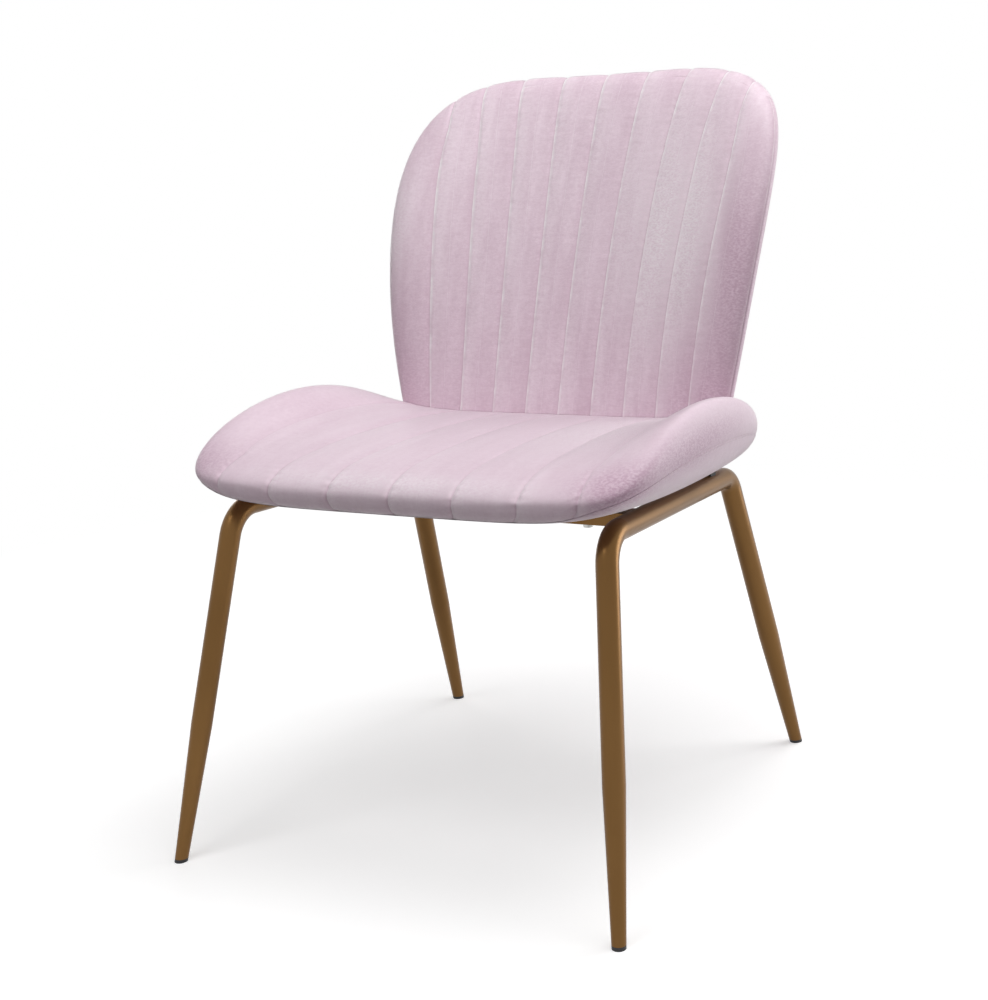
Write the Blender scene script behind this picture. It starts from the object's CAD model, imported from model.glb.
import math

import bpy
import numpy as np
from mathutils import Matrix, Vector

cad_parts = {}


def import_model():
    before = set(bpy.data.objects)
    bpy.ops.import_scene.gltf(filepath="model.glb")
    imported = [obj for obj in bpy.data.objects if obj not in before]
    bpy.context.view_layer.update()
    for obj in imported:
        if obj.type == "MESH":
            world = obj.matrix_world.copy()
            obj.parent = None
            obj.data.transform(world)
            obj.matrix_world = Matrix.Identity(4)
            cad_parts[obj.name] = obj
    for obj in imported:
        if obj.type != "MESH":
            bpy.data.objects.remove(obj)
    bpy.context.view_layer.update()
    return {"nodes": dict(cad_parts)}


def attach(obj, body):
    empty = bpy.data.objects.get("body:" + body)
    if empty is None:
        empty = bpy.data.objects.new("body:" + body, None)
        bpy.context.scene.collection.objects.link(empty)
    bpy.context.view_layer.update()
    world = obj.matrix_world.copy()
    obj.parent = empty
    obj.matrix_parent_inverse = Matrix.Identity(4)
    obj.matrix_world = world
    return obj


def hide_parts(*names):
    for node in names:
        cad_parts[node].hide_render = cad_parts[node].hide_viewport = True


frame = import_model()

# Upholstered side chair. Metres, +Z up, the sitter faces -Y.
# Three values in a row are front, middle and rear of the seat, or bottom, middle and top of the back.
# Two values in a row are where a change starts and ends, or what it starts and ends with, unless a comment
# says otherwise.

# Camera
CAMERA_PLACE = (1.0855, -1.8406, 0.9026)
CAMERA_AZIMUTH = 31.1
CAMERA_ELEVATION = 13.97
CAMERA_ROLL = -4.55
CAMERA_LENS = 65.69
CAMERA_SENSOR = 36.0
CAMERA_FARTHEST = 50.0

# Seat form
SEAT_MIDDLE_Y = -0.055
SEAT_HALF_DEPTH = 0.225
SEAT_HALF_WIDTH = (0.298, 0.289, 0.280)
SEAT_TOP = (0.462, 0.466, 0.443)
WING_RISE = (-0.015, 0.076, 0.012)
SEAT_UNDERSIDE = (0.417, 0.402, 0.394)
UNDERSIDE_RISE = (0.036, 0.012, 0.026)
SEAT_PLAN_POWER = 6.3
WING_POWER = 5.6
UNDERSIDE_POWER = 5.0
SEAT_SIDE_POWER = 14.0
SEAT_NOSE_POWER = 10.0
SEAT_NOSE_UNDER_POWER = 16.0

# Back form, with its lean in degrees at the bottom and at the top
BACK_FOOT_Y = 0.117
BACK_FOOT_Z = 0.419
BACK_LENGTH = 0.489
BACK_LEAN = (19.0, 29.4)
BACK_HALF_WIDTH = (0.222, 0.262, 0.263)
BACK_DISH = (0.010, 0.029, 0.009)
BACK_DISH_AT = 0.2
BACK_THICKNESS = 0.048
BACK_LOWEST_SHARE = 0.03
BACK_HIGHEST_FOOT_SHARE = 0.3
BACK_CORNER_START = 0.4
BACK_CORNER_POWER = 4.4
BACK_SIDE_POWER = 10.0
BACK_TOP_POWER = 12.0
BACK_SPACE_OVER_SEAT = -0.0005
BACK_FORWARD = np.array([0, -math.cos(math.radians(BACK_LEAN[0])), math.sin(math.radians(BACK_LEAN[0]))])

# Sewn channels between the outermost seams. One more channel lies outside each of these.
SEAT_OUTER_SEAM = (0.239, 0.224, 0.209)
SEAT_OUTER_SEAM_SHARE = SEAT_OUTER_SEAM[1] / SEAT_HALF_WIDTH[1]
SEAT_SEAM_SHIFT = 0.010
SEAT_SHIFT_POWER = 4
SEAT_CHANNELS = 6
BACK_SEAM_SPACING = (0.0465, 0.049, 0.0605)
BACK_CHANNELS = 8
BACK_OUTER_SEAM_SHARE = 0.77

# Covers, and how far past its widest line each reaches, as an angle round the edge
COVER = 0.002
SEAT_SIDE_FOLD = 0.13
SEAT_FRONT_FOLD = 0.46
SEAT_FRONT_FOLD_ALONG = (0.75, 0.97)
SEAT_FRONT_FOLD_ACROSS = (0.62, 0.9)
BACK_FOLD = 0.24
UNDER_EDGE_POWER = 6

# Grids: coarse cells for the cloth, each split again for the finished surface
SPLIT = 4
UNDER_SPLIT = 2
FOLD_ROOM = 0.12
FOLD_POWER = 4
CORNER_SPREAD = 4.0
# Columns of cells in a side fold, from there to the outermost seam, and in each channel
SEAT_COLUMNS = (3, 13, 10)
BACK_COLUMNS = (3, 11, 6)
# Rows of cells in the front fold, on the seat and in the rear fold
SEAT_ROWS = (4, 66, 3)
# Rows of cells below the back's rounded top, in the top and in its fold, and where the lowest row lies
BACK_ROWS = (22, 44, 3)
BACK_LOWEST_ROW = -0.39

# Cloth, blown up between the seams
CLOTH_STIFFNESS = 12
CLOTH_BENDING = 0.4
CLOTH_QUALITY = 6
CLOTH_FRAMES = 20
CLOTH_MOST_SHIFT = 0.0035
SEAT_PRESSURE = 3.0
BACK_PRESSURE = 4.0
SOFTEN_ROUNDS = 3
SOFTEN_SHARE = 0.5
HELD_FOLD_SHARE = 0.6

# Where a cushion is pulled tight: its corners, its sides and its folds
CALM_CORNER = (0.8, 0.96)
CALM_SIDE = (0.72, 0.9)
CALM_SIDE_SHARE = 0.6
CALM_FOLD = (1 + 0.5 * FOLD_ROOM, 1 + FOLD_ROOM)

# Creases: depth and width, and the share of the width on a seam's right side
SEAT_CREASE = (0.0005, 0.0034)
NOSE_CREASE_EXTRA = 0.0028
NOSE_CREASE_AT = (0.5, 0.8)
BACK_CREASE = (0.0021, 0.005)
SIDE_SEAM_CREASE = (0.0012, 0.002)
STEEP_SIDE = 0.4
# The seam along the back's sides: its grid place, metres to a grid unit, and where it ends in the top
SIDE_SEAM_AT = 0.93
SIDE_SEAM_SCALE = 0.09
SIDE_SEAM_TOP = (0.75, 0.9)
# Dip at the covers' outer seam
RIM_CREASE = 0.0008
RIM_CREASE_POWER = 3

# Puckers: seed, height and reach
SEAT_PUCKER = (11, 0.0002, 0.007)
NOSE_PUCKER_EXTRA = 0.0010
NOSE_PUCKER_AT = (0.55, 0.85)
BACK_PUCKER = (23, 0.0006, 0.009)
PUCKER_LENGTHS = (0.011, 0.017, 0.029)
PUCKER_STEADY_SHARE = 0.6
PUCKER_DRIFT_LENGTHS = 7.3

# Hidden faces that close the cushions: share of the edge's size, and distance in from the other cover
SEAT_CORE = 0.026
SEAT_RINGS = ((0.985, 0.004), (0.93, 0.005), (0.84, SEAT_CORE), (0.5, SEAT_CORE), (0.2, SEAT_CORE))
BACK_CORE = 0.022
BACK_RINGS = ((0.87, 0.003), (0.8, 0.008), (0.7, BACK_CORE), (0.45, BACK_CORE), (0.2, BACK_CORE))
BACK_RING_MIDDLE = 0.25

# Velvet tones
VELVET_DARK = (0.71, 0.54, 0.63)
VELVET_LIGHT = (0.84, 0.685, 0.77)
VELVET_OPENED = (0.99, 0.93, 0.96)
VELVET_SHADED = (0.61, 0.43, 0.52)
VELVET_BRUSHED = (0.95, 0.89, 0.92)
VELVET_DEEP = (0.55, 0.345, 0.46)

# Where the nap is brushed up paler or laid down deeper: centre, reach along each axis, tone, share
SEAT_NAP_ZONES = (
    ((0.0, -0.262, 0.452), (0.30, 0.035, 0.03), VELVET_BRUSHED, 0.5),
    ((0.30, -0.10, 0.468), (0.045, 0.24, 0.04), VELVET_DEEP, 1.2),
    ((-0.30, -0.10, 0.468), (0.045, 0.24, 0.04), VELVET_DEEP, 1.2),
    ((0.28, -0.245, 0.455), (0.10, 0.08, 0.05), VELVET_DEEP, 1.2),
    ((-0.28, -0.245, 0.455), (0.10, 0.08, 0.05), VELVET_DEEP, 0.8),
    ((0.16, -0.05, 0.45), (0.13, 0.20, 0.06), VELVET_BRUSHED, 0.5),
)
BACK_NAP_ZONES = (
    ((0.14, 0.19, 0.66), (0.12, 0.30, 0.22), VELVET_BRUSHED, 0.8),
    ((0.24, 0.14, 0.63), (0.06, 0.30, 0.22), VELVET_DEEP, 0.9),
    ((-0.26, 0.12, 0.47), (0.15, 0.30, 0.20), VELVET_DEEP, 0.5),
    ((0.22, 0.12, 0.46), (0.12, 0.30, 0.14), VELVET_DEEP, 0.7),
    ((0.0, 0.30, 0.86), (0.28, 0.10, 0.06), VELVET_DEEP, 0.3),
    ((-0.265, 0.17, 0.67), (0.045, 0.30, 0.14), VELVET_BRUSHED, 0.9),
)
# Where the seat's seams are drawn in most: centre and reach
NOSE_SEAMS = ((0.0, -0.275, 0.43), (0.6, 0.06, 0.06))

# Nap noises in cells to the metre along each axis
NAP_STREAKS = (58, 10, 10)
NAP_CLOUDS = (260, 140, 140)
NAP_STRANDS = (150, 150, 380)
NAP_FLECKS = (300, 300, 560)
NAP_FIBRE = 900.0
FLECK_LIMITS = (0.38, 0.62)
FLECK_SHARES = (0.35, 1.0)

# Seams in the velvet: distances from the seam, and shares of the paler and the darker tone
SEAM_EDGE = 0.0006
SEAM_LINE = (0.001, 0.0055)
SEAM_SHADOW = 0.0035
SEAM_GLOW = 0.022
SEAM_GLOW_SHARE = 0.36
SEAM_DIM_SHARE = 0.5
SEAM_PATCHES = 45.0
SEAM_PATCH_LIMITS = (0.35, 0.6)
SEAM_PATCH_SHARES = (0.4, 0.95)
UNDRAWN_SHARE = 0.3
STITCH_LENGTH = 0.0042
STITCH_REACH = 0.003

# The part of a noise's range that tones and roughness follow
NOISE_SPREAD = (0.3, 0.7)

# Studio
FLOOR_HALF_SIZE = 6.0
FLOOR_WHITENS = (0.9, 1.7)
FLOOR_GLOW = (0.48, 1.0)
FLOOR_SEEN = (0.8, 0.8, 0.8, 1)
FLOOR_UNSEEN = (0.5, 0.5, 0.5, 1)
WHITE = (1, 1, 1, 1)
BLACK = (0, 0, 0, 1)
SKY_BRIGHTEST = (0.94, 0.0, 0.34)
SKY_FACING = (-0.1, 0.9)
SKY_STRENGTH = (0.02, 0.40)
# Name, place, target, size and level
LAMPS = (
    ("top", (0.4, 0.3, 2.6), (0, 0, 0.45), 1.4, 0.68),
    ("front", (-0.5, -1.3, 2.5), (0, 0, 0.5), 1.2, 0.26),
    ("right", (1.6, 1.3, 0.5), (0, 0, 0.4), 1.0, 0.36),
    ("rear", (-1.6, 1.3, 0.6), (0, 0, 0.4), 1.0, 0.18),
)

# Small numbers that keep divisions and roots safe, and how close counts as the same place
TINY = 1e-9
TINIEST = 1e-12
SAME_PLACE = 1e-6
INSIDE_ALONG = 0.9999
INSIDE_ACROSS = 0.999
HALVINGS = 30


def through(s, values):
    """The parabola that has these three values at s = -1, 0 and 1."""
    first, middle, last = values
    return middle + (last - first) / 2 * s + ((first + last) / 2 - middle) * s * s


def rounding(t, power):
    """1 in the middle of a form, falling to 0 at its edge, t = 1."""
    return np.sqrt(np.clip(1 - np.abs(t) ** power, 0, None))


def smooth_step(t, start, end):
    """0 up to start and 1 from end on, with a smooth rise between."""
    t = np.clip((t - start) / (end - start), 0, 1)
    return t * t * (3 - 2 * t)


def eased(a):
    """Grid places from -1 to 1 as shares, closer together towards the edges."""
    return np.sin(a * math.pi / 2)


# Grid places on a cushion: the square |a|, |b| <= 1 reaches its widest line. What lies beyond folds under.

def lines(stops, cells, split):
    """Grid coordinates that run through the stops, with this many cells between each pair."""
    made = [np.array([stops[0]])]
    for start, end, count in zip(stops, stops[1:], cells):
        made.append(np.linspace(start, end, count * split + 1)[1:])
    return np.concatenate(made)


def pull_in(a, b):
    """Places beyond the square moved to its edge, and how far beyond they were as a share."""
    reach = np.maximum(np.maximum(np.abs(a), np.abs(b)), TINY)
    beyond = np.maximum(reach, 1)
    a_in = a / beyond ** (np.abs(a) / reach) ** FOLD_POWER
    b_in = b / beyond ** (np.abs(b) / reach) ** FOLD_POWER
    return a_in, b_in, (beyond - 1) / FOLD_ROOM


def outline_size(across, along, power):
    """1 on the rounded outline, less inside it."""
    return (np.abs(across) ** power + np.abs(along) ** power) ** (1 / power)


def round_corners(across, along, power):
    """Shares on a square moved onto a rounded outline, most near the corners."""
    reach = np.maximum(np.abs(across), np.abs(along))
    ratio = reach / np.maximum(outline_size(across, along, power), TINY)
    squeeze = 1 - (1 - ratio) * reach ** CORNER_SPREAD
    return across * squeeze, along * squeeze


def keep_outline(across, warped, along, power):
    """Shares warped across, moved so that those on the rounded outline stay on it."""
    size = outline_size(across, along, power)
    new_size = outline_size(warped, along, power)
    keep = 1 + (size / np.maximum(new_size, TINY) - 1) * size ** CORNER_SPREAD
    return warped * keep, along * keep


def seam_warp(share, outer, target):
    """Shares shifted so that the outer seam at share outer lands on target and the edge stays at 1."""
    size = np.abs(share)
    hat = np.where(size < outer, size / outer, (1 - size) / (1 - outer))
    return np.sign(share) * (size + (target - outer) * hat)


# Seat surface

def seat_height(s, share, q, side):
    """Height of the seat at a place, on top where side is 1 and underneath where it is -1."""
    top = through(s, SEAT_TOP) + through(s, WING_RISE) * share ** WING_POWER
    under = through(s, SEAT_UNDERSIDE) + through(s, UNDERSIDE_RISE) * share ** UNDERSIDE_POWER
    nose = np.where(side > 0, rounding(s, SEAT_NOSE_POWER), rounding(s, SEAT_NOSE_UNDER_POWER))
    return (top + under) / 2 + side * (top - under) / 2 * rounding(q, SEAT_SIDE_POWER) * nose


def seat_points(across, s, side):
    """Points at shares across and along the seat, on top where side is 1 and underneath where it is -1."""
    full = through(s, SEAT_HALF_WIDTH)
    room = np.maximum(1 - np.abs(s) ** SEAT_PLAN_POWER, TINIEST) ** (1 / SEAT_PLAN_POWER)
    q = np.clip(np.abs(across) / room, 0, 1)
    y = SEAT_MIDDLE_Y + SEAT_HALF_DEPTH * s
    return np.stack([across * full, y, seat_height(s, np.abs(across), q, side)], axis=-1)


def seat_top_height(x, y):
    """Height of the top of the seat at a place, and of its edge line beyond the seat."""
    s = np.clip((y - SEAT_MIDDLE_Y) / SEAT_HALF_DEPTH, -INSIDE_ALONG, INSIDE_ALONG)
    across = np.clip(x / through(s, SEAT_HALF_WIDTH), -INSIDE_ACROSS, INSIDE_ACROSS)
    return seat_points(across, s, 1.0)[..., 2]


def seat_plan(a, b):
    """Shares across and along the seat for grid places, and how far past the widest line they are."""
    a_in, b_in, past = pull_in(a, b)
    across, along = round_corners(eased(a_in), eased(b_in), SEAT_PLAN_POWER)
    wide = through(along, SEAT_HALF_WIDTH)
    warped = seam_warp(across, SEAT_OUTER_SEAM_SHARE, through(along, SEAT_OUTER_SEAM) / wide)
    warped = warped + SEAT_SEAM_SHIFT / wide * (1 - warped ** SEAT_SHIFT_POWER)
    across, along = keep_outline(across, warped, along, SEAT_PLAN_POWER)
    return across, along, past


def seat_fold(across, along):
    """Angle past the widest line at which the top cover ends: far under in front, a little at the sides."""
    beside = smooth_step(np.abs(across), *SEAT_FRONT_FOLD_ACROSS)
    front = smooth_step(-along, *SEAT_FRONT_FOLD_ALONG) * (1 - beside)
    return SEAT_SIDE_FOLD + (SEAT_FRONT_FOLD - SEAT_SIDE_FOLD) * front


def seat_top_surface(a, b):
    """The top of the seat, and past its widest line the start of the underside."""
    across, along, past = seat_plan(a, b)
    inward = np.cos(past * seat_fold(across, along))
    return seat_points(across * inward, along * inward, np.where(past > 0, -1.0, 1.0))


def seat_under_surface(a, b):
    """The underside from its middle out to the edge of the top cover, which is the square's edge here."""
    across, along, _ = seat_plan(a, b)
    reach = np.maximum(np.abs(a), np.abs(b))
    inward = 1 - (1 - np.cos(seat_fold(across, along))) * reach ** UNDER_EDGE_POWER
    return seat_points(across * inward, along * inward, -1.0)


# Back surface

def back_places(x, v, forward):
    """Points at x, at share v of the height, this far forward of the front of the middle line."""
    low, high = [math.radians(angle) for angle in BACK_LEAN]
    lean = low + (high - low) * v
    radius = BACK_LENGTH / (high - low)
    y = BACK_FOOT_Y + radius * (math.cos(low) - np.cos(lean))
    z = BACK_FOOT_Z + radius * (np.sin(lean) - math.sin(low))
    return np.stack([x, y - forward * np.cos(lean), z + forward * np.sin(lean)], axis=-1)


def back_dish(x, v):
    """How far the back comes forward beside its middle line."""
    return through(2 * v - 1, BACK_DISH) * (x / BACK_DISH_AT) ** 2


def back_points(across, corner, v, side):
    """Points at shares across the back and into its rounded top, in front where side is 1."""
    x = across * through(2 * v - 1, BACK_HALF_WIDTH)
    room = np.maximum(1 - corner ** BACK_CORNER_POWER, TINIEST) ** (1 / BACK_CORNER_POWER)
    q = np.clip(np.abs(across) / room, 0, 1)
    half = BACK_THICKNESS / 2 * rounding(q, BACK_SIDE_POWER) * rounding(corner, BACK_TOP_POWER)
    return back_places(x, v, back_dish(x, v) - BACK_THICKNESS / 2 + side * half)


def back_plan(a, b):
    """Shares across the back and into its rounded top, and how far past the widest line grid places are."""
    a_in, b_in, past = pull_in(a, np.maximum(b, 0))
    across, corner = round_corners(eased(a_in), eased(b_in), BACK_CORNER_POWER)
    return across, corner, past


def back_shares(across, corner, v):
    """Shares across and into the top, shifted so that the grid's columns follow the channels at height v."""
    target = BACK_CHANNELS / 2 * through(2 * v - 1, BACK_SEAM_SPACING) / through(2 * v - 1, BACK_HALF_WIDTH)
    warped = seam_warp(across, BACK_OUTER_SEAM_SHARE, target)
    return keep_outline(across, warped, corner, BACK_CORNER_POWER)


def back_at(across, corner, inward, side, v):
    """A point of the back whose height share is given."""
    warped, tip = back_shares(across, corner, v)
    return back_points(warped * inward, tip * inward, v, side)


def lowest_share(across, inward, side):
    """Height share at which each column of the back comes down onto the seat."""
    low = np.full(across.shape, BACK_LOWEST_SHARE)
    high = np.full(across.shape, BACK_HIGHEST_FOOT_SHARE)
    for _ in range(HALVINGS):
        middle = (low + high) / 2
        point = back_at(across, np.zeros_like(across), inward, side, middle)
        above = point[..., 2] > seat_top_height(point[..., 0], point[..., 1]) + BACK_SPACE_OVER_SEAT
        high = np.where(above, middle, high)
        low = np.where(above, low, middle)
    return high


def back_surface(a, b, inward, side):
    """Grid places of one side of the back. Rows with b below 0 run down to the seat."""
    across, corner, _ = back_plan(a, b)
    bottom = lowest_share(across, inward, side)
    drop = np.clip(b / BACK_LOWEST_ROW, 0, 1)
    upper = BACK_CORNER_START + (1 - BACK_CORNER_START) * corner
    warped, tip = back_shares(across, corner, upper)
    v = BACK_CORNER_START + (1 - BACK_CORNER_START) * tip * inward
    v = np.where(b < 0, BACK_CORNER_START + (bottom - BACK_CORNER_START) * drop, v)
    warped = np.where(b < 0, back_shares(across, corner, v)[0], warped)
    return back_points(warped * inward, tip * inward, v, side)


def back_front_surface(a, b):
    """The front of the back, and past its widest line the start of the rear."""
    _, _, past = back_plan(a, b)
    return back_surface(a, b, np.cos(past * BACK_FOLD), np.where(past > 0, -1.0, 1.0))


def back_rear_surface(a, b):
    """The rear out to the edge of the front cover, which is the square's edge here."""
    reach = np.maximum(np.abs(a), np.maximum(b, 0))
    inward = 1 - (1 - math.cos(BACK_FOLD)) * reach ** UNDER_EDGE_POWER
    return back_surface(a, b, inward, -1.0)


# Mesh building

def grid_faces(rows, columns):
    """Corner indexes of the four-sided faces between a grid's points."""
    corner = np.arange(rows * columns).reshape(rows, columns)
    quads = np.stack([corner[:-1, :-1], corner[:-1, 1:], corner[1:, 1:], corner[1:, :-1]], axis=-1)
    return quads.reshape(-1, 4)


def new_piece(name, points, faces, material):
    """A smooth mesh object in the scene."""
    mesh = bpy.data.meshes.new(name)
    mesh.from_pydata(points.reshape(-1, 3).tolist(), [], [list(face) for face in faces])
    mesh.polygons.foreach_set("use_smooth", [True] * len(mesh.polygons))
    mesh.materials.append(material)
    mesh.update()
    piece = bpy.data.objects.new(name, mesh)
    bpy.context.scene.collection.objects.link(piece)
    return piece


def grid_normals(points):
    """Outward directions at a grid's points, from the faces round each of them."""
    face = np.cross(points[1:, 1:] - points[:-1, :-1], points[1:, :-1] - points[:-1, 1:])
    normals = np.zeros_like(points)
    for rows in (slice(None, -1), slice(1, None)):
        for columns in (slice(None, -1), slice(1, None)):
            normals[rows, columns] += face
    return normals / np.maximum(np.linalg.norm(normals, axis=-1, keepdims=True), TINIEST)


def inflate(points, held, pressure):
    """Cloth over the coarse grid, held where held is 1 and blown up between: how far each point moves."""
    rows, columns = points.shape[:2]
    piece = new_piece("cloth_work", points, grid_faces(rows, columns), None)
    group = piece.vertex_groups.new(name="held")
    for index, weight in enumerate(held.ravel()):
        if weight > 0:
            group.add([index], float(weight), "REPLACE")
    cloth = piece.modifiers.new("Cloth", "CLOTH")
    cloth.settings.vertex_group_mass = "held"
    cloth.settings.use_pressure = True
    cloth.settings.uniform_pressure_force = pressure
    cloth.settings.tension_stiffness = CLOTH_STIFFNESS
    cloth.settings.compression_stiffness = CLOTH_STIFFNESS
    cloth.settings.bending_stiffness = CLOTH_BENDING
    cloth.settings.quality = CLOTH_QUALITY
    cloth.settings.effector_weights.gravity = 0
    cloth.collision_settings.use_collision = False
    for number in range(1, CLOTH_FRAMES + 1):
        bpy.context.scene.frame_set(number)
    evaluated = piece.evaluated_get(bpy.context.evaluated_depsgraph_get())
    moved = np.array([vertex.co for vertex in evaluated.data.vertices]).reshape(points.shape)
    bpy.data.objects.remove(piece)
    bpy.context.scene.frame_set(1)
    shift = moved - points
    size = np.linalg.norm(shift, axis=-1, keepdims=True)
    return shift * np.minimum(1, CLOTH_MOST_SHIFT / np.maximum(size, TINY))


def soften(shift, free):
    """Evens out the cloth's movement between neighbours, leaving held points alone."""
    for _ in range(SOFTEN_ROUNDS):
        padded = np.pad(shift, ((1, 1), (1, 1), (0, 0)), mode="edge")
        mean = (padded[:-2, 1:-1] + padded[2:, 1:-1] + padded[1:-1, :-2] + padded[1:-1, 2:]) / 4
        shift = shift + (mean - shift) * SOFTEN_SHARE * free[..., None]
    return shift


def refine(values, axis):
    """Values on the coarse lines carried over to the fine ones by a smooth curve through them."""
    values = np.moveaxis(values, axis, 0)
    count = len(values)
    place = np.arange((count - 1) * SPLIT + 1) / SPLIT
    cell = np.minimum(place.astype(int), count - 2)
    t = (place - cell).reshape((-1,) + (1,) * (values.ndim - 1))
    before = values[np.maximum(cell - 1, 0)]
    first = values[cell]
    second = values[cell + 1]
    after = values[np.minimum(cell + 2, count - 1)]
    slope_in = (second - before) / 2
    slope_out = (after - first) / 2
    step = second - first
    square = 3 * step - 2 * slope_in - slope_out
    cube = slope_in + slope_out - 2 * step
    return np.moveaxis(first + t * (slope_in + t * (square + t * cube)), 0, axis)


def seam_distance(a, outer, outer_at, channels, edge_at):
    """Signed distance from the nearest seam for each column, and that seam's number."""
    share = eased(np.clip(a, -1, 1))
    size = np.abs(share)
    inside = outer_at * size / outer
    outside = outer_at + (edge_at - outer_at) * (size - outer) / (1 - outer)
    place = np.where(size < outer, inside, outside) * np.sign(share)
    spacing = 2 * outer_at / channels
    number = np.clip(np.round(place / spacing), -channels // 2, channels // 2)
    return place - number * spacing, number.astype(int)


def run_length(points):
    """Length along each column from its first row."""
    steps = np.linalg.norm(np.diff(points, axis=0), axis=-1)
    return np.concatenate([np.zeros((1, points.shape[1])), np.cumsum(steps, axis=0)])


def puckers(distance, number, along, seed, height, reach):
    """Short folds that run out from each seam, different on its two sides."""
    made = np.zeros_like(along)
    generator = np.random.default_rng(seed)
    for seam in range(int(number.min()), int(number.max()) + 1):
        for side in (-1, 1):
            here = (number == seam) & (np.sign(distance) == side)
            waves = np.zeros_like(along)
            for length in PUCKER_LENGTHS:
                phase, drift = generator.uniform(0, 2 * math.pi, 2)
                turns = 2 * math.pi * along / length
                changing = (1 - PUCKER_STEADY_SHARE) * np.sin(turns / PUCKER_DRIFT_LENGTHS + drift)
                waves += (PUCKER_STEADY_SHARE + changing) * np.sin(turns + phase)
            made = np.where(here, waves, made)
    return height * made / len(PUCKER_LENGTHS) * np.exp(-np.abs(distance) / reach)


def creases(distance, depth, width):
    """A valley at each seam, steep on its right side where the allowance lies under the cover."""
    return -depth * np.exp(-np.abs(distance) / np.where(distance > 0, width * STEEP_SIDE, width))


def add_seam_map(piece, distance, along):
    """Stores each point's distance from its seam and its place along it, for the fabric's stitches."""
    layer = piece.data.uv_layers.new(name="seam_map")
    pairs = np.stack([distance.ravel(), along.ravel()], axis=-1)
    corner_vertex = np.zeros(len(piece.data.loops), dtype=np.int32)
    piece.data.loops.foreach_get("vertex_index", corner_vertex)
    layer.data.foreach_set("uv", pairs[corner_vertex].astype(np.float32).ravel())


def edge_loop(rows, columns):
    """Indexes of a grid's outermost points, in order round it."""
    corner = np.arange(rows * columns).reshape(rows, columns)
    return np.concatenate([corner[0, :-1], corner[:-1, -1], corner[-1, :0:-1], corner[:0:-1, 0]])


def close_with_rings(points, rings, centre):
    """Points and faces of a grid closed by rings that run from its edge to a middle point."""
    rows, columns = points.shape[:2]
    faces = [list(face) for face in grid_faces(rows, columns)]
    loop = edge_loop(rows, columns)
    count = len(loop)
    placed = [points.reshape(-1, 3)]
    start = rows * columns
    last = loop
    for ring in rings:
        new = np.arange(start, start + count)
        for i in range(count):
            j = (i + 1) % count
            faces.append([last[j], last[i], new[i], new[j]])
        placed.append(ring)
        last = new
        start += count
    placed.append(np.array([centre]))
    for i in range(count):
        faces.append([last[(i + 1) % count], last[i], start])
    return np.concatenate(placed), faces


def shell(points, inward):
    """Points and faces of a thin closed sheet between the grid and the same grid moved inward."""
    rows, columns = points.shape[:2]
    count = rows * columns
    outer = grid_faces(rows, columns)
    inner = outer[:, ::-1] + count
    loop = edge_loop(rows, columns)
    after = np.roll(loop, -1)
    rim = np.stack([after, loop, loop + count, after + count], axis=-1)
    placed = np.concatenate([points.reshape(-1, 3), (points + inward).reshape(-1, 3)])
    return placed, np.concatenate([outer, inner, rim])


# Materials

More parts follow.
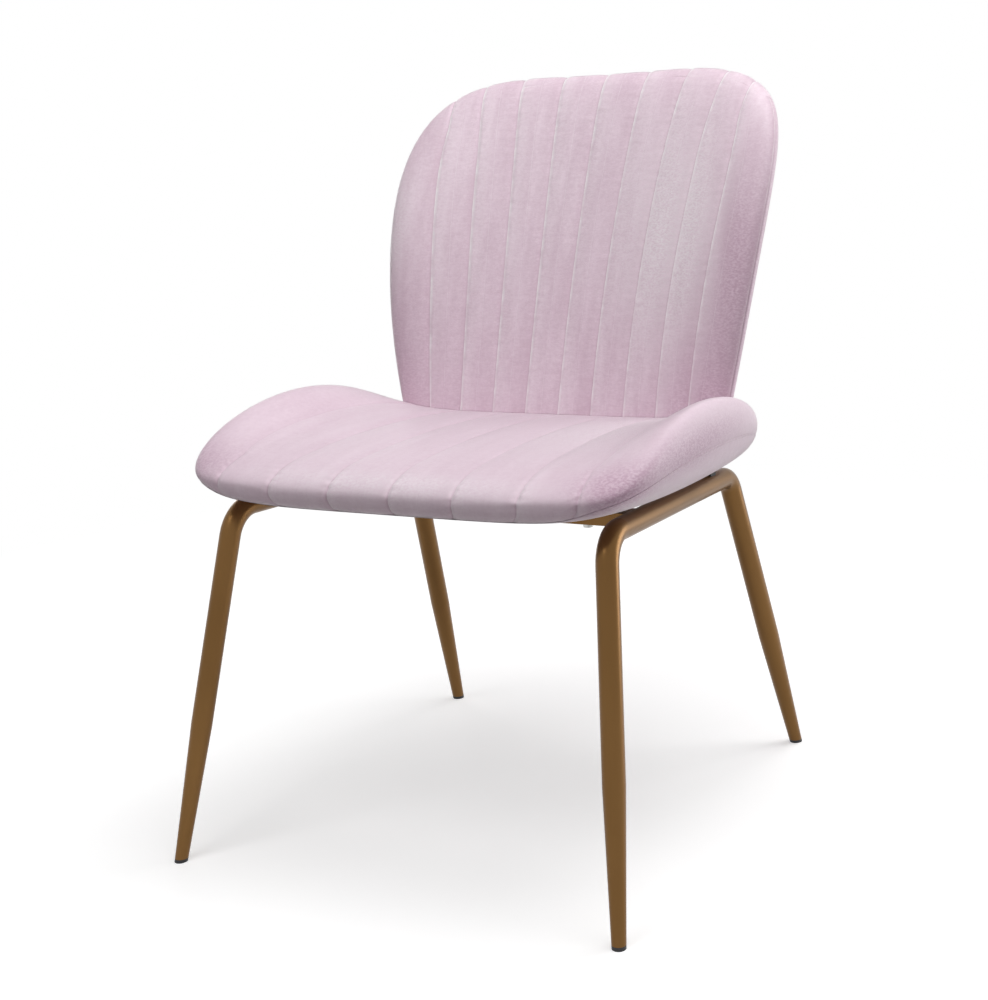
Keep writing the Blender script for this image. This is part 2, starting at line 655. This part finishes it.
class Nodes:
    """A node tree with a short way to add and join nodes."""

    def __init__(self, tree):
        self.tree = tree

    def put(self, node, socket, value):
        """Links another node's output to a socket, or sets a plain value on it."""
        target = node.inputs[socket]
        if isinstance(value, bpy.types.NodeSocket):
            self.tree.links.new(value, target)
        else:
            target.default_value = value

    def add(self, kind, settings=None, **inputs):
        node = self.tree.nodes.new(kind)
        for key, value in (settings or {}).items():
            setattr(node, key, value)
        for key, value in inputs.items():
            self.put(node, key.replace("_", " "), value)
        return node

    def object_place(self):
        """The place in the object's own frame."""
        return self.add("ShaderNodeTexCoord").outputs["Object"]

    def noise(self, scale, detail, stretch=(1, 1, 1)):
        """Noise in the object's own frame, with scale times stretch cells to the metre along each axis."""
        mapped = self.add("ShaderNodeMapping", Vector=self.object_place(), Scale=stretch).outputs["Vector"]
        return self.add("ShaderNodeTexNoise", Vector=mapped, Scale=scale, Detail=detail).outputs["Fac"]

    def math(self, operation, first, second=0.0):
        node = self.add("ShaderNodeMath", {"operation": operation})
        self.put(node, 0, first)
        self.put(node, 1, second)
        return node.outputs[0]

    def blend(self, *weighted):
        """The sum of values, each multiplied by its weight."""
        total = 0.0
        for value, weight in weighted:
            total = self.math("ADD", total, self.math("MULTIPLY", value, weight))
        return total

    def ramp(self, value, low, high, low_colour, high_colour):
        """A colour that runs between two as the value runs from low to high."""
        node = self.add("ShaderNodeValToRGB", Fac=value)
        for stop, place, colour in zip(node.color_ramp.elements, (low, high), (low_colour, high_colour)):
            stop.position = place
            stop.color = (*colour, 1)
        return node.outputs["Color"]

    def between(self, value, low, high, at_low, at_high):
        """A value that runs from at_low to at_high as the given one runs from low to high."""
        node = self.add("ShaderNodeMapRange", Value=value, From_Min=low, From_Max=high)
        self.put(node, "To Min", at_low)
        self.put(node, "To Max", at_high)
        return node.outputs["Result"]

    def length(self, vector):
        return self.add("ShaderNodeVectorMath", {"operation": "LENGTH"}, Vector=vector).outputs["Value"]

    def zone(self, centre, reach):
        """1 at a place in the object's frame, falling smoothly to 0 at this reach from it along each axis."""
        mapped = self.add("ShaderNodeMapping", {"vector_type": "TEXTURE"}, Vector=self.object_place(),
                          Location=centre, Scale=reach).outputs["Vector"]
        near = self.add("ShaderNodeMapRange", {"interpolation_type": "SMOOTHSTEP"}, Value=self.length(mapped))
        self.put(near, "To Min", 1.0)
        self.put(near, "To Max", 0.0)
        return near.outputs["Result"]

    def mix(self, share, first, second):
        """Two colours mixed, with this share of the second."""
        node = self.add("ShaderNodeMix", {"data_type": "RGBA"})
        for socket, value in ((0, share), (6, first), (7, second)):
            self.put(node, socket, value)
        return node.outputs[2]

    def bump(self, height, distance, strength, under=None):
        """Surface directions for a fine relief, on top of the one under it."""
        node = self.add("ShaderNodeBump", Height=height, Distance=distance, Strength=strength)
        if under is not None:
            self.put(node, "Normal", under)
        return node.outputs["Normal"]

    def seen_plainly(self):
        """1 for what the camera sees straight, in a reflection or through glass."""
        path = self.add("ShaderNodeLightPath").outputs
        straight_or_mirrored = self.math("MAXIMUM", path["Is Camera Ray"], path["Is Glossy Ray"])
        return self.math("MAXIMUM", straight_or_mirrored, path["Is Transmission Ray"])


class Shader(Nodes):
    """A material with the nodes that feed its surface."""

    def __init__(self, name):
        self.material = bpy.data.materials.new(name)
        self.material.use_nodes = True
        super().__init__(self.material.node_tree)
        self.surface = self.tree.nodes["Principled BSDF"]

    def set(self, **inputs):
        for key, value in inputs.items():
            self.put(self.surface, key.replace("_", " "), value)


def seam_tones(s, away, flecks, opened_share, shaded_share):
    """Shares of the paler tone right of each seam and of the darker tone left of it."""
    patches = s.between(s.noise(SEAM_PATCHES, detail=2.0), *SEAM_PATCH_LIMITS, *SEAM_PATCH_SHARES)
    line = s.math("MULTIPLY", s.between(away, *SEAM_LINE, opened_share, 0.0), patches)
    glow = s.math("MULTIPLY", s.between(away, 0.0, SEAM_GLOW, SEAM_GLOW_SHARE, 0.0), flecks)
    on_right = s.between(away, -SEAM_EDGE, 0.0, 0.0, 1.0)
    paler = s.math("MULTIPLY", s.math("MAXIMUM", line, glow), on_right)
    shadow = s.between(away, -SEAM_SHADOW, -SEAM_EDGE, 0.0, shaded_share)
    dimmed = s.math("MULTIPLY", s.between(away, -SEAM_GLOW, 0.0, 0.0, SEAM_DIM_SHARE), flecks)
    on_left = s.between(away, -SEAM_EDGE, 0.0, 1.0, 0.0)
    darker = s.math("MULTIPLY", s.math("MAXIMUM", shadow, dimmed), on_left)
    return paler, darker


def velvet(name, opened_share, shaded_share, evenness, roughness, zones, drawn_in=None):
    """Short pile with a streaked nap, opened and paler right of each seam and pressed darker left of it."""
    s = Shader(name)
    streaks = s.noise(1.0, detail=3.0, stretch=NAP_STREAKS)
    clouds = s.noise(1.0, detail=6.0, stretch=NAP_CLOUDS)
    strands = s.noise(1.0, detail=4.0, stretch=NAP_STRANDS)
    fibre = s.noise(NAP_FIBRE, detail=2.0)
    flecks = s.between(s.noise(1.0, detail=3.0, stretch=NAP_FLECKS), *FLECK_LIMITS, *FLECK_SHARES)
    nap = s.blend((streaks, 0.65), (clouds, 0.35))
    speckled = s.blend((nap, 0.6), (strands, 0.28), (fibre, 0.12))
    colour = s.ramp(speckled, 0.5 - evenness, 0.5 + evenness, VELVET_DARK, VELVET_LIGHT)
    for centre, reach, tone, share in zones:
        weight = s.math("MULTIPLY", s.math("MULTIPLY", s.zone(centre, reach), flecks), share)
        colour = s.mix(weight, colour, (*tone, 1))
    seam_map = s.add("ShaderNodeUVMap", {"uv_map": "seam_map"}).outputs["UV"]
    place = s.add("ShaderNodeSeparateXYZ", Vector=seam_map).outputs
    paler, darker = seam_tones(s, place["X"], flecks, opened_share, shaded_share)
    if drawn_in:
        share = s.between(s.zone(*drawn_in), 0.0, 1.0, UNDRAWN_SHARE, 1.0)
        paler = s.math("MULTIPLY", paler, share)
        darker = s.math("MULTIPLY", darker, share)
    colour = s.mix(paler, colour, (*VELVET_OPENED, 1))
    s.set(Base_Color=s.mix(darker, colour, (*VELVET_SHADED, 1)))
    wave = s.math("SINE", s.math("MULTIPLY", place["Y"], 2 * math.pi / STITCH_LENGTH))
    beside = s.between(s.math("ABSOLUTE", place["X"]), 0.0, STITCH_REACH, 1.0, 0.0)
    fine = s.bump(fibre, distance=0.0003, strength=0.7)
    cloudy = s.bump(nap, distance=0.001, strength=0.5, under=fine)
    stitched = s.bump(s.math("MULTIPLY", wave, beside), distance=0.0002, strength=0.2, under=cloudy)
    s.set(Normal=stitched, Roughness=roughness, Specular_IOR_Level=0.5)
    s.set(Sheen_Weight=0.8, Sheen_Roughness=0.34, Sheen_Tint=(1.0, 0.97, 0.985, 1.0))
    return s.material


def bronze_paint():
    """Satin metallic paint with a faint drift in shade and a fine spray texture."""
    s = Shader("bronze_paint")
    drift = s.noise(9.0, detail=3.0, stretch=(1, 1, 0.4))
    spray = s.noise(900.0, detail=2.0)
    s.set(Base_Color=s.ramp(drift, *NOISE_SPREAD, (0.174, 0.088, 0.027), (0.220, 0.114, 0.037)))
    s.set(Roughness=s.between(drift, *NOISE_SPREAD, 0.28, 0.36), Metallic=0.65, Specular_IOR_Level=0.2)
    s.set(Normal=s.bump(spray, distance=0.00012, strength=0.35))
    return s.material


def grained(name, grain, dark, light, roughness, relief):
    """A matt moulded surface whose fine grain shows in its tone, roughness and relief."""
    s = Shader(name)
    grains = s.noise(**grain)
    s.set(Base_Color=s.ramp(grains, *NOISE_SPREAD, dark, light))
    s.set(Roughness=s.between(grains, *NOISE_SPREAD, *roughness), Normal=s.bump(grains, **relief))
    return s.material


def dark_plastic():
    return grained("dark_plastic", grain={"scale": 700.0, "detail": 3.0},
                   dark=(0.012, 0.012, 0.013), light=(0.03, 0.03, 0.032),
                   roughness=(0.45, 0.6), relief={"distance": 0.0001, "strength": 0.4})


def pad_rubber():
    return grained("pad_rubber", grain={"scale": 450.0, "detail": 4.0},
                   dark=(0.015, 0.015, 0.016), light=(0.04, 0.039, 0.038),
                   roughness=(0.7, 0.85), relief={"distance": 0.0002, "strength": 0.5})


def plated_steel():
    """Zinc plate: grey patches and fine drawing lines."""
    s = Shader("plated_steel")
    patches = s.noise(160.0, detail=4.0)
    drawn_lines = s.noise(1.0, detail=2.0, stretch=(1500, 120, 120))
    s.set(Base_Color=s.ramp(patches, *NOISE_SPREAD, (0.42, 0.42, 0.41), (0.6, 0.6, 0.58)), Metallic=1.0)
    s.set(Roughness=s.between(patches, *NOISE_SPREAD, 0.28, 0.42))
    s.set(Normal=s.bump(drawn_lines, distance=0.00008, strength=0.4))
    return s.material


def plywood():
    """Pale veneer with fine grain and a broader figure along Y."""
    s = Shader("plywood")
    grain = s.noise(1.0, detail=6.0, stretch=(260, 14, 260))
    figure = s.noise(14.0, detail=3.0, stretch=(1, 0.3, 1))
    tone = s.blend((grain, 0.6), (figure, 0.4))
    s.set(Base_Color=s.ramp(tone, 0.35, 0.65, (0.42, 0.27, 0.15), (0.66, 0.48, 0.30)))
    s.set(Roughness=s.between(grain, *NOISE_SPREAD, 0.55, 0.75))
    s.set(Normal=s.bump(grain, distance=0.0003, strength=0.5))
    return s.material


def set_material(names, material):
    """Gives solids that are shown as they are a material."""
    for name in names:
        mesh = frame["nodes"][name].data
        mesh.materials.clear()
        mesh.materials.append(material)


# Cushions

def channel_lines(outer_share, channels, columns, split):
    """Grid lines across a cushion, with one on each seam."""
    fold, outer, channel = columns
    per_side = channels // 2
    shares = [outer_share * k / per_side for k in range(-per_side, per_side + 1)]
    seams = [2 / math.pi * math.asin(share) for share in shares]
    stops = [-1 - FOLD_ROOM, -1, *seams, 1, 1 + FOLD_ROOM]
    return lines(stops, [fold, outer, *[channel] * channels, outer, fold], split)


def seat_lines(split):
    across = channel_lines(SEAT_OUTER_SEAM_SHARE, SEAT_CHANNELS, SEAT_COLUMNS, split)
    along = lines([-1 - FOLD_ROOM, -1, 1, 1 + FOLD_ROOM], SEAT_ROWS, split)
    return across, along


def back_lines(split):
    across = channel_lines(BACK_OUTER_SEAM_SHARE, BACK_CHANNELS, BACK_COLUMNS, split)
    along = lines([BACK_LOWEST_ROW, 0, 1, 1 + FOLD_ROOM], BACK_ROWS, split)
    return across, along


def calm(a, b):
    """1 over most of a cushion, less at its corners and outer edges, where the cover is pulled tight."""
    size_a = np.abs(a)
    size_b = np.abs(b)
    corner = 1 - smooth_step(np.minimum(size_a, size_b), *CALM_CORNER)
    side = 1 - CALM_SIDE_SHARE * smooth_step(size_a, *CALM_SIDE)
    return corner * side * (1 - smooth_step(np.maximum(size_a, size_b), *CALM_FOLD))


def rim_crease(a, b):
    """How far a cover dips at its outer seam."""
    past = np.clip((np.maximum(np.abs(a), np.abs(b)) - 1) / FOLD_ROOM, 0, 1)
    return RIM_CREASE * past ** RIM_CREASE_POWER


def side_seam_distance(a, b):
    """Distance from the seam along the back's sides, positive outside it and large over the rounded top."""
    return (np.abs(a) - SIDE_SEAM_AT) * SIDE_SEAM_SCALE + smooth_step(b, *SIDE_SEAM_TOP)


def channel_cushion(surface, grid_lines, distance_of, held_at, pressure, crease, pucker, side_seam):
    """A channelled surface: cloth blown up between the seams, then sharp creases and small puckers."""
    a, b = np.meshgrid(*grid_lines(1))
    coarse = surface(a, b)
    distance, _ = distance_of(a)
    held = np.where(np.abs(distance) < SAME_PLACE, 1.0, 0.0)
    held[held_at(a, b)] = 1.0
    shift = inflate(coarse, held, pressure)
    shift = soften(shift * calm(a, b)[..., None], 1 - held)
    a, b = np.meshgrid(*grid_lines(SPLIT))
    points = surface(a, b)
    normals = grid_normals(points)
    points = points + refine(refine(shift, 0), 1)
    distance, number = distance_of(a)
    along = run_length(points)
    height = creases(distance, *crease(b)) + puckers(distance, number, along, *pucker(b))
    height = height * calm(a, b) - rim_crease(a, b)
    if side_seam:
        beside = side_seam_distance(a, b)
        height = height + creases(beside, *SIDE_SEAM_CREASE)
        distance = np.where(np.abs(beside) < np.abs(distance), -np.abs(beside), distance)
    return points + normals * height[..., None], distance, along


def closed_cushion(name, points, distance, along, rings, centre, material):
    """A cushion's front closed by hidden rings, with its seam map. The rings lie far from any seam."""
    placed, faces = close_with_rings(points, rings, centre)
    hidden = len(placed) - points.size // 3
    piece = new_piece(name, placed, faces, material)
    add_seam_map(piece, np.concatenate([distance.ravel(), np.ones(hidden)]),
                 np.concatenate([along.ravel(), np.zeros(hidden)]))
    return piece


def plain_fabric(name, points, inward, material):
    """A thin sheet of fabric without seams."""
    placed, faces = shell(points[:, ::-1], inward)
    piece = new_piece(name, placed, faces, material)
    add_seam_map(piece, np.ones(len(placed)), np.zeros(len(placed)))
    return piece


def drawn_back(line):
    """Grid lines of a cover drawn back so that its edge is the square's edge."""
    return line / (1 + FOLD_ROOM) ** (np.abs(line) / (1 + FOLD_ROOM)) ** FOLD_POWER


def past_rim(a, b):
    """Where a cover is folded under so far that it is fixed."""
    return np.maximum(np.abs(a), np.abs(b)) > 1 + HELD_FOLD_SHARE * FOLD_ROOM


# Seat cushion

def seat_distance(a):
    outer_at = SEAT_OUTER_SEAM[1]
    return seam_distance(a, SEAT_OUTER_SEAM_SHARE, outer_at, SEAT_CHANNELS, SEAT_HALF_WIDTH[1])


def seat_crease(b):
    """Depth and width of the seat's seams: deep over the nose, faint on top."""
    depth, width = SEAT_CREASE
    return depth + NOSE_CREASE_EXTRA * smooth_step(-b, *NOSE_CREASE_AT), width


def seat_pucker(b):
    """Seed, height and reach of the seat's puckers: higher over the nose."""
    seed, height, reach = SEAT_PUCKER
    return seed, height + NOSE_PUCKER_EXTRA * smooth_step(-b, *NOSE_PUCKER_AT), reach


def seat_cushion(material):
    """The seat's foam with its top cover."""
    points, distance, along = channel_cushion(
        surface=seat_top_surface, grid_lines=seat_lines, distance_of=seat_distance, held_at=past_rim,
        pressure=SEAT_PRESSURE, crease=seat_crease, pucker=seat_pucker, side_seam=False)
    edge = points.reshape(-1, 3)[edge_loop(*points.shape[:2])]
    rings = []
    for share, lift in SEAT_RINGS:
        s = (edge[:, 1] - SEAT_MIDDLE_Y) * share / SEAT_HALF_DEPTH
        across = edge[:, 0] * share / through(s, SEAT_HALF_WIDTH)
        rings.append(seat_points(across, s, -1.0) + np.array([0, 0, lift]))
    centre = (0, SEAT_MIDDLE_Y, SEAT_UNDERSIDE[1] + SEAT_CORE)
    return closed_cushion("seat_cushion", points, distance, along, rings, centre, material)


def seat_under_fabric(material):
    """The plain cover under the seat."""
    a, b = np.meshgrid(*[drawn_back(line) for line in seat_lines(UNDER_SPLIT)])
    return plain_fabric("seat_under_fabric", seat_under_surface(a, b), np.array([0, 0, COVER]), material)


# Back cushion

def back_distance(a):
    outer_at = BACK_SEAM_SPACING[1] * BACK_CHANNELS / 2
    return seam_distance(a, BACK_OUTER_SEAM_SHARE, outer_at, BACK_CHANNELS, BACK_HALF_WIDTH[1])


def back_held(a, b):
    """Where the back's cover is fixed: in its fold and along its foot."""
    return past_rim(a, np.maximum(b, 0)) | (b < BACK_LOWEST_ROW + SAME_PLACE)


def back_cushion(material):
    """The back's foam with its front cover."""
    points, distance, along = channel_cushion(
        surface=back_front_surface, grid_lines=back_lines, distance_of=back_distance, held_at=back_held,
        pressure=BACK_PRESSURE, crease=lambda b: BACK_CREASE, pucker=lambda b: BACK_PUCKER, side_seam=True)
    a, b = np.meshgrid(*back_lines(SPLIT))
    loop = edge_loop(*points.shape[:2])
    edge_a = np.clip(a.ravel()[loop], -1, 1)
    edge_b = np.clip(b.ravel()[loop], BACK_LOWEST_ROW, 1)
    rings = []
    for share, inset in BACK_RINGS:
        ring_b = BACK_RING_MIDDLE + (edge_b - BACK_RING_MIDDLE) * share
        rings.append(back_surface(edge_a * share, ring_b, 1.0, -1.0) + BACK_FORWARD * inset)
    middle = back_surface(np.zeros(1), np.full(1, BACK_RING_MIDDLE), 1.0, -1.0)[0]
    centre = middle + BACK_FORWARD * BACK_CORE
    return closed_cushion("back_cushion", points, distance, along, rings, centre, material)


def back_rear_fabric(material):
    """The plain cover behind the back."""
    across, along = back_lines(UNDER_SPLIT)
    a, b = np.meshgrid(drawn_back(across), np.where(along > 0, drawn_back(along), along))
    return plain_fabric("back_rear_fabric", back_rear_surface(a, b), BACK_FORWARD * COVER, material)


def dress(piece, nodes):
    """Puts a soft piece in the place of its solids."""
    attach(piece, "root")
    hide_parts(*nodes)


# Studio

def camera():
    """The photo's view: from the front right, a little above the seat, and rolled a little."""
    azimuth, elevation, roll = [math.radians(v) for v in (CAMERA_AZIMUTH, CAMERA_ELEVATION, CAMERA_ROLL)]
    level = Vector((math.sin(azimuth), -math.cos(azimuth), 0))
    back = level * math.cos(elevation) + Vector((0, 0, math.sin(elevation)))
    right = Vector((0, 0, 1)).cross(back).normalized()
    up = back.cross(right)
    turned_right = right * math.cos(roll) + up * math.sin(roll)
    turned_up = up * math.cos(roll) - right * math.sin(roll)
    data = bpy.data.cameras.new("camera")
    data.sensor_width = CAMERA_SENSOR
    data.lens = CAMERA_LENS
    data.clip_end = CAMERA_FARTHEST
    holder = bpy.data.objects.new("camera", data)
    turn = Matrix((turned_right, turned_up, back)).transposed().to_4x4()
    holder.matrix_world = Matrix.Translation(CAMERA_PLACE) @ turn
    bpy.context.scene.collection.objects.link(holder)
    bpy.context.scene.camera = holder


def floor():
    """White where it is seen, with the object's shadow near it. The light it throws back is dimmer."""
    corners = [(-1, -1, 0), (1, -1, 0), (1, 1, 0), (-1, 1, 0)]
    s = Shader("floor_white")
    seen = s.seen_plainly()
    far = s.between(s.length(s.object_place()), *FLOOR_WHITENS, 0.0, 1.0)
    shown = s.mix(far, FLOOR_SEEN, BLACK)
    s.set(Base_Color=s.mix(seen, FLOOR_UNSEEN, shown), Roughness=0.9, Specular_IOR_Level=0.0)
    glow = s.between(far, 0.0, 1.0, *FLOOR_GLOW)
    s.set(Emission_Color=WHITE, Emission_Strength=s.math("MULTIPLY", seen, glow))
    piece = new_piece("floor", np.array(corners) * FLOOR_HALF_SIZE, [[0, 1, 2, 3]], s.material)


def world():
    """White where it is seen, and a dimmer sky for lighting, brighter up and to the right."""
    made = bpy.data.worlds.new("studio")
    made.use_nodes = True
    bpy.context.scene.world = made
    n = Nodes(made.node_tree)
    facing = n.add("ShaderNodeVectorMath", {"operation": "DOT_PRODUCT"})
    n.put(facing, 0, n.add("ShaderNodeTexCoord").outputs["Generated"])
    n.put(facing, 1, SKY_BRIGHTEST)
    sky = n.between(facing.outputs["Value"], *SKY_FACING, *SKY_STRENGTH)
    background = n.tree.nodes["Background"]
    n.put(background, "Color", WHITE)
    n.put(background, "Strength", n.between(n.seen_plainly(), 0.0, 1.0, sky, 1.0))


def soft_light(name, place, target, size, level):
    """A square light that adds level to a white surface facing it at the target."""
    ray = Vector(target) - Vector(place)
    data = bpy.data.lights.new(name, "AREA")
    data.shape = "SQUARE"
    data.size = size
    data.energy = level * math.pi ** 2 * ray.length ** 2
    lamp = bpy.data.objects.new(name, data)
    lamp.location = place
    lamp.rotation_euler = ray.to_track_quat("-Z", "Y").to_euler()
    bpy.context.scene.collection.objects.link(lamp)


bpy.context.scene.view_settings.view_transform = "Standard"
camera()
floor()
world()
for lamp in LAMPS:
    soft_light(*lamp)

seat_velvet = velvet("seat_velvet", opened_share=0.4, shaded_share=0.8, evenness=0.2, roughness=0.55,
                     zones=SEAT_NAP_ZONES, drawn_in=NOSE_SEAMS)
back_velvet = velvet("back_velvet", opened_share=1.0, shaded_share=0.6, evenness=0.11, roughness=0.42,
                     zones=BACK_NAP_ZONES)
dress(seat_cushion(seat_velvet), ["seat_cover", "seat_foam"])
dress(seat_under_fabric(seat_velvet), ["seat_under_cover"])
dress(back_cushion(back_velvet), ["back_cover_front", "back_foam"])
dress(back_rear_fabric(back_velvet), ["back_cover_rear"])

set_material(["side_frame_left", "side_frame_right", "cross_bar_front", "cross_bar_rear"], bronze_paint())
set_material([name for name in frame["nodes"] if name.startswith("foot_glide")], dark_plastic())
set_material(["rail_pad_left", "rail_pad_right"], pad_rubber())
set_material(["seat_bolts", "seat_bolt_washers", "seat_tee_nuts", "bracket_seat_screws",
              "bracket_back_screws", "back_bracket_left", "back_bracket_right"], plated_steel())
set_material(["seat_panel", "back_panel"], plywood())
